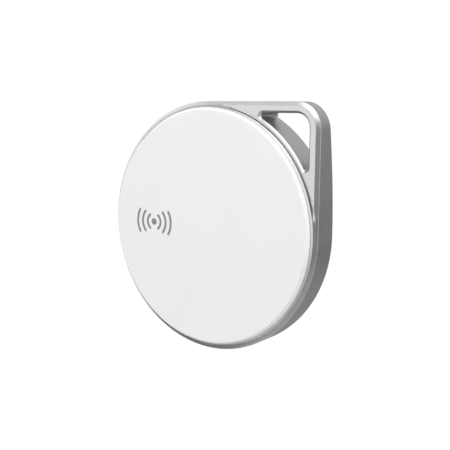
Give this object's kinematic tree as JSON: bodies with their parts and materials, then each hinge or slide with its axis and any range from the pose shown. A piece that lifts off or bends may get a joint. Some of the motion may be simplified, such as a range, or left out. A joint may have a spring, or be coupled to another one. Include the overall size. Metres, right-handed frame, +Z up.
{
  "type": "bluetooth tracker tag",
  "caption": "Round white press-button tracker tag in a satin metal frame with one square corner holding a triangular key-ring loop; coin-slot battery door at the back.",
  "frame": {"origin": "middle of the loop hole, half way through the metal, where the key ring holds the tag", "axes": "+Z up as the tag is shown, along the frame side that ends in the loop corner; +X to the right seen from the front; the press button faces -Y and the battery door +Y"},
  "size_m": [0.04, 0.0072, 0.04],
  "materials": {
    "frame_metal": "satin blasted and anodised, natural silver",
    "white_cap": "smooth satin moulded plastic, white",
    "white_cover": "fine-textured moulded plastic, white",
    "pale_plastic": "moulded, unpainted",
    "black_plastic": "moulded, black",
    "bright_steel": "nickel-plated steel",
    "foam": "closed-cell foam or soft rubber, dark grey",
    "board": "glass-epoxy with green solder mask",
    "brass": "bare brass",
    "ceramic": "fired, silvered face",
    "capacitor_body": "fired, tan"
  },
  "bodies": {
    "housing": {"metal_frame": "frame_metal", "bezel_ring": "frame_metal", "rear_cover": "white_cover", "inner_chassis": "pale_plastic", "chip_antenna": "pale_plastic", "switch_body": "black_plastic", "ble_soc": "black_plastic", "power_inductor": "black_plastic", "piezo_seat": "black_plastic", "pcb_screw_1": "bright_steel", "pcb_screw_2": "bright_steel", "pcb_screw_3": "bright_steel", "switch_cover": "bright_steel", "crystal_main": "bright_steel", "crystal_clock": "bright_steel", "positive_contact": "bright_steel", "negative_contact": "bright_steel", "dust_seal": "foam", "pcb": "board", "piezo_plate": "brass", "piezo_contact_1": "brass", "piezo_contact_2": "brass", "piezo_ceramic": "ceramic", "capacitor_1": "capacitor_body", "capacitor_2": "capacitor_body", "capacitor_3": "capacitor_body", "capacitor_4": "capacitor_body"},
    "cap": {"front_cap": "white_cap"},
    "plunger": {"switch_plunger": "black_plastic"},
    "cell": {"cell_can": "bright_steel", "cell_gasket": "black_plastic", "cell_cup": "bright_steel"},
    "door": {"battery_door": "white_cover", "door_gasket": "foam", "door_pad": "foam"}
  },
  "joints": [
    {"name": "cap_press", "type": "slide", "parent": "housing", "child": "cap", "axis": [0, 1, 0], "range_m": [0, 0.00025], "stiffness_N_per_m": 1500, "deforming": ["dust_seal"]},
    {"name": "plunger_press", "type": "slide", "parent": "housing", "child": "plunger", "axis": [0, 1, 0], "range_m": [0, 0.00026]},
    {"name": "cell_lift", "type": "slide", "parent": "housing", "child": "cell", "axis": [0, 1, 0], "range_m": [0, 0.0005], "deforming": ["negative_contact"]},
    {"name": "door_turn", "type": "hinge", "parent": "cell", "child": "door", "pos_m": [-0.0161, 0.00415, -0.0161], "axis": [0, 1, 0], "range_deg": [0, 61]}
  ],
  "couplings": [
    {"joint": "plunger_press", "follows": "cap_press", "ratio": 1},
    {"joint": "door_turn", "follows": "cell_lift", "rad_per_m": 2094.4}
  ]
}
